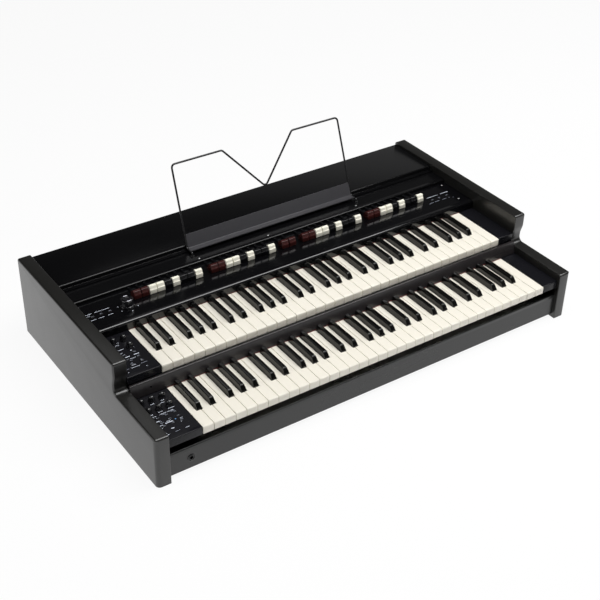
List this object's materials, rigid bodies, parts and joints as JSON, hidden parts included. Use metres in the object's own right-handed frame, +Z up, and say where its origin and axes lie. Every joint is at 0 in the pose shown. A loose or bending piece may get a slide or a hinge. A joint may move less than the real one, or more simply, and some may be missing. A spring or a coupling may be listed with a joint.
{
  "type": "dual-manual organ",
  "caption": "Two-manual tabletop drawbar organ in a wooden-cheeked case, with hinged keys, sliding drawbars, knobs, buttons and a lift-off wire music stand.",
  "frame": {"origin": "bottom centre of the object's box, on the surface that the cheeks stand on", "axes": "+X to the player's right along the keys, +Y away from the player, +Z up"},
  "size_m": [1.018, 0.5874, 0.3453],
  "materials": {
    "cabinet_wood": "satin black paint on wood",
    "dark_sheet": "satin dark grey paint",
    "gloss_panel": "glossy black",
    "satin_rail": "satin dark grey",
    "bed_steel": "zinc plated",
    "key_white": "off-white, waterfall gloss",
    "key_black": "gloss black",
    "cap_brown": "dark brown",
    "cap_white": "ivory",
    "cap_black": "black",
    "knob_black": "black with a pale line",
    "knob_chrome": "bright ringed",
    "button_rubber": "soft grey",
    "stand_wire": "black powder coat",
    "socket_metal": "satin",
    "switch_black": "moulded",
    "circuit_board": "solder mask green"
  },
  "bodies": {
    "case": {"left_cheek": "cabinet_wood", "right_cheek": "cabinet_wood", "base_board": "cabinet_wood", "front_rail": "satin_rail", "headphone_socket": "socket_metal", "back_panel": "cabinet_wood", "socket_plate": "socket_metal", "lid": "dark_sheet", "stand_shelf": "dark_sheet", "drawbar_panel": "gloss_panel", "middle_rail": "satin_rail", "lower_key_bed": "bed_steel", "upper_key_bed": "bed_steel", "lower_control_block": "satin_rail", "upper_control_block": "satin_rail", "lower_end_block": "satin_rail", "upper_end_block": "satin_rail", "main_board": "circuit_board"},
    "drawbar_1": {"drawbar_1": "cap_brown"},
    "drawbar_2": {"drawbar_2": "cap_brown"},
    "drawbar_3": {"drawbar_3": "cap_white"},
    "drawbar_4": {"drawbar_4": "cap_white"},
    "drawbar_5": {"drawbar_5": "cap_black"},
    "drawbar_6": {"drawbar_6": "cap_white"},
    "drawbar_7": {"drawbar_7": "cap_black"},
    "drawbar_8": {"drawbar_8": "cap_black"},
    "drawbar_9": {"drawbar_9": "cap_white"},
    "drawbar_bank": {"drawbar_bank": "cap_black"},
    "left_panel_buttons": {"left_panel_buttons": "button_rubber"},
    "lower_block_buttons": {"lower_block_buttons": "button_rubber"},
    "lower_key_a": {"lower_key_a": "key_white"},
    "lower_key_a_sharp": {"lower_key_a_sharp": "key_black"},
    "lower_key_b": {"lower_key_b": "key_white"},
    "lower_key_c": {"lower_key_c": "key_white"},
    "lower_key_c_sharp": {"lower_key_c_sharp": "key_black"},
    "lower_key_d": {"lower_key_d": "key_white"},
    "lower_key_d_sharp": {"lower_key_d_sharp": "key_black"},
    "lower_key_e": {"lower_key_e": "key_white"},
    "lower_key_f": {"lower_key_f": "key_white"},
    "lower_key_f_sharp": {"lower_key_f_sharp": "key_black"},
    "lower_key_g": {"lower_key_g": "key_white"},
    "lower_key_g_sharp": {"lower_key_g_sharp": "key_black"},
    "lower_knob_1": {"lower_knob_1": "knob_black"},
    "lower_knob_2": {"lower_knob_2": "knob_black"},
    "lower_knob_3": {"lower_knob_3": "knob_black"},
    "lower_knob_4": {"lower_knob_4": "knob_black"},
    "lower_knob_5": {"lower_knob_5": "knob_black"},
    "lower_knob_6": {"lower_knob_6": "knob_black"},
    "lower_naturals": {"lower_naturals": "key_white"},
    "lower_sharps": {"lower_sharps": "key_black"},
    "music_stand": {"music_stand": "stand_wire"},
    "power_switch": {"power_switch": "switch_black"},
    "right_panel_buttons": {"right_panel_buttons": "button_rubber"},
    "upper_block_buttons": {"upper_block_buttons": "button_rubber"},
    "upper_knob_1": {"upper_knob_1": "knob_black"},
    "upper_knob_2": {"upper_knob_2": "knob_black"},
    "upper_knob_3": {"upper_knob_3": "knob_black"},
    "upper_naturals": {"upper_naturals": "key_white"},
    "upper_sharps": {"upper_sharps": "key_black"},
    "vibrato_knob": {"vibrato_knob": "knob_chrome"}
  },
  "joints": [
    {"name": "lower_key_c_press", "type": "hinge", "parent": "case", "child": "lower_key_c", "pos_m": [0, -0.0925, 0.0849], "axis": [1, 0, 0], "range_deg": [0, 3], "stiffness_Nm_per_rad": 0.5, "springref_deg": -17.19},
    {"name": "lower_key_d_press", "type": "hinge", "parent": "case", "child": "lower_key_d", "pos_m": [0, -0.0925, 0.0849], "axis": [1, 0, 0], "range_deg": [0, 3], "stiffness_Nm_per_rad": 0.5, "springref_deg": -17.19},
    {"name": "lower_key_e_press", "type": "hinge", "parent": "case", "child": "lower_key_e", "pos_m": [0, -0.0925, 0.0849], "axis": [1, 0, 0], "range_deg": [0, 3], "stiffness_Nm_per_rad": 0.5, "springref_deg": -17.19},
    {"name": "lower_key_f_press", "type": "hinge", "parent": "case", "child": "lower_key_f", "pos_m": [0, -0.0925, 0.0849], "axis": [1, 0, 0], "range_deg": [0, 3], "stiffness_Nm_per_rad": 0.5, "springref_deg": -17.19},
    {"name": "lower_key_g_press", "type": "hinge", "parent": "case", "child": "lower_key_g", "pos_m": [0, -0.0925, 0.0849], "axis": [1, 0, 0], "range_deg": [0, 3], "stiffness_Nm_per_rad": 0.5, "springref_deg": -17.19},
    {"name": "lower_key_a_press", "type": "hinge", "parent": "case", "child": "lower_key_a", "pos_m": [0, -0.0925, 0.0849], "axis": [1, 0, 0], "range_deg": [0, 3], "stiffness_Nm_per_rad": 0.5, "springref_deg": -17.19},
    {"name": "lower_key_b_press", "type": "hinge", "parent": "case", "child": "lower_key_b", "pos_m": [0, -0.0925, 0.0849], "axis": [1, 0, 0], "range_deg": [0, 3], "stiffness_Nm_per_rad": 0.5, "springref_deg": -17.19},
    {"name": "lower_key_c_sharp_press", "type": "hinge", "parent": "case", "child": "lower_key_c_sharp", "pos_m": [0, -0.0775, 0.0849], "axis": [1, 0, 0], "range_deg": [0, 3], "stiffness_Nm_per_rad": 0.5, "springref_deg": -17.19},
    {"name": "lower_key_d_sharp_press", "type": "hinge", "parent": "case", "child": "lower_key_d_sharp", "pos_m": [0, -0.0775, 0.0849], "axis": [1, 0, 0], "range_deg": [0, 3], "stiffness_Nm_per_rad": 0.5, "springref_deg": -17.19},
    {"name": "lower_key_f_sharp_press", "type": "hinge", "parent": "case", "child": "lower_key_f_sharp", "pos_m": [0, -0.0775, 0.0849], "axis": [1, 0, 0], "range_deg": [0, 3], "stiffness_Nm_per_rad": 0.5, "springref_deg": -17.19},
    {"name": "lower_key_g_sharp_press", "type": "hinge", "parent": "case", "child": "lower_key_g_sharp", "pos_m": [0, -0.0775, 0.0849], "axis": [1, 0, 0], "range_deg": [0, 3], "stiffness_Nm_per_rad": 0.5, "springref_deg": -17.19},
    {"name": "lower_key_a_sharp_press", "type": "hinge", "parent": "case", "child": "lower_key_a_sharp", "pos_m": [0, -0.0775, 0.0849], "axis": [1, 0, 0], "range_deg": [0, 3], "stiffness_Nm_per_rad": 0.5, "springref_deg": -17.19},
    {"name": "lower_naturals_press", "type": "hinge", "parent": "case", "child": "lower_naturals", "pos_m": [0, -0.0925, 0.0849], "axis": [1, 0, 0], "range_deg": [0, 3], "stiffness_Nm_per_rad": 12, "springref_deg": -17.19},
    {"name": "lower_sharps_press", "type": "hinge", "parent": "case", "child": "lower_sharps", "pos_m": [0, -0.0775, 0.0849], "axis": [1, 0, 0], "range_deg": [0, 3], "stiffness_Nm_per_rad": 6, "springref_deg": -17.19},
    {"name": "upper_naturals_press", "type": "hinge", "parent": "case", "child": "upper_naturals", "pos_m": [0, 0.0575, 0.129], "axis": [1, 0, 0], "range_deg": [0, 3], "stiffness_Nm_per_rad": 15, "springref_deg": -17.19},
    {"name": "upper_sharps_press", "type": "hinge", "parent": "case", "child": "upper_sharps", "pos_m": [0, 0.0725, 0.129], "axis": [1, 0, 0], "range_deg": [0, 3], "stiffness_Nm_per_rad": 8, "springref_deg": -17.19},
    {"name": "drawbar_1_slide", "type": "slide", "parent": "case", "child": "drawbar_1", "axis": [0, -1, 0], "range_m": [0, 0.048]},
    {"name": "drawbar_2_slide", "type": "slide", "parent": "case", "child": "drawbar_2", "axis": [0, -1, 0], "range_m": [0, 0.048]},
    {"name": "drawbar_3_slide", "type": "slide", "parent": "case", "child": "drawbar_3", "axis": [0, -1, 0], "range_m": [0, 0.048]},
    {"name": "drawbar_4_slide", "type": "slide", "parent": "case", "child": "drawbar_4", "axis": [0, -1, 0], "range_m": [0, 0.048]},
    {"name": "drawbar_5_slide", "type": "slide", "parent": "case", "child": "drawbar_5", "axis": [0, -1, 0], "range_m": [0, 0.048]},
    {"name": "drawbar_6_slide", "type": "slide", "parent": "case", "child": "drawbar_6", "axis": [0, -1, 0], "range_m": [0, 0.048]},
    {"name": "drawbar_7_slide", "type": "slide", "parent": "case", "child": "drawbar_7", "axis": [0, -1, 0], "range_m": [0, 0.048]},
    {"name": "drawbar_8_slide", "type": "slide", "parent": "case", "child": "drawbar_8", "axis": [0, -1, 0], "range_m": [0, 0.048]},
    {"name": "drawbar_9_slide", "type": "slide", "parent": "case", "child": "drawbar_9", "axis": [0, -1, 0], "range_m": [0, 0.048]},
    {"name": "drawbar_bank_slide", "type": "slide", "parent": "case", "child": "drawbar_bank", "axis": [0, -1, 0], "range_m": [0, 0.048]},
    {"name": "lower_knob_1_turn", "type": "hinge", "parent": "case", "child": "lower_knob_1", "pos_m": [-0.4715, -0.1705, 0.095], "axis": [0, 0, 1], "range_deg": [-150, 150]},
    {"name": "lower_knob_2_turn", "type": "hinge", "parent": "case", "child": "lower_knob_2", "pos_m": [-0.45, -0.1705, 0.095], "axis": [0, 0, 1], "range_deg": [-150, 150]},
    {"name": "lower_knob_3_turn", "type": "hinge", "parent": "case", "child": "lower_knob_3", "pos_m": [-0.4285, -0.1705, 0.095], "axis": [0, 0, 1], "range_deg": [-150, 150]},
    {"name": "lower_knob_4_turn", "type": "hinge", "parent": "case", "child": "lower_knob_4", "pos_m": [-0.4715, -0.199, 0.095], "axis": [0, 0, 1], "range_deg": [-150, 150]},
    {"name": "lower_knob_5_turn", "type": "hinge", "parent": "case", "child": "lower_knob_5", "pos_m": [-0.45, -0.199, 0.095], "axis": [0, 0, 1], "range_deg": [-150, 150]},
    {"name": "lower_knob_6_turn", "type": "hinge", "parent": "case", "child": "lower_knob_6", "pos_m": [-0.4285, -0.199, 0.095], "axis": [0, 0, 1], "range_deg": [-150, 150]},
    {"name": "upper_knob_1_turn", "type": "hinge", "parent": "case", "child": "upper_knob_1", "pos_m": [-0.453, -0.0255, 0.1391], "axis": [0, 0, 1], "range_deg": [-150, 150]},
    {"name": "upper_knob_2_turn", "type": "hinge", "parent": "case", "child": "upper_knob_2", "pos_m": [-0.431, -0.0255, 0.1391], "axis": [0, 0, 1], "range_deg": [-150, 150]},
    {"name": "upper_knob_3_turn", "type": "hinge", "parent": "case", "child": "upper_knob_3", "pos_m": [-0.431, -0.0525, 0.1391], "axis": [0, 0, 1], "range_deg": [-150, 150]},
    {"name": "vibrato_knob_turn", "type": "hinge", "parent": "case", "child": "vibrato_knob", "pos_m": [-0.382, 0.0495, 0.158], "axis": [0, 0, 1], "range_deg": [-75, 75]},
    {"name": "lower_block_buttons_press", "type": "slide", "parent": "case", "child": "lower_block_buttons", "axis": [0, 0, -1], "range_m": [0, 0.001], "stiffness_N_per_m": 300, "springref_m": -0.003},
    {"name": "upper_block_buttons_press", "type": "slide", "parent": "case", "child": "upper_block_buttons", "axis": [0, 0, -1], "range_m": [0, 0.001], "stiffness_N_per_m": 300, "springref_m": -0.003},
    {"name": "left_panel_buttons_press", "type": "slide", "parent": "case", "child": "left_panel_buttons", "axis": [0, 0, -1], "range_m": [0, 0.001], "stiffness_N_per_m": 300, "springref_m": -0.003},
    {"name": "right_panel_buttons_press", "type": "slide", "parent": "case", "child": "right_panel_buttons", "axis": [0, 0, -1], "range_m": [0, 0.001], "stiffness_N_per_m": 300, "springref_m": -0.003},
    {"name": "power_switch_rock", "type": "hinge", "parent": "case", "child": "power_switch", "pos_m": [-0.105, 0.2855, 0.088], "axis": [1, 0, 0], "range_deg": [0, 18]},
    {"name": "music_stand_lift", "type": "slide", "parent": "case", "child": "music_stand", "axis": [0, 0, 1], "range_m": [0, 0.03]}
  ]
}
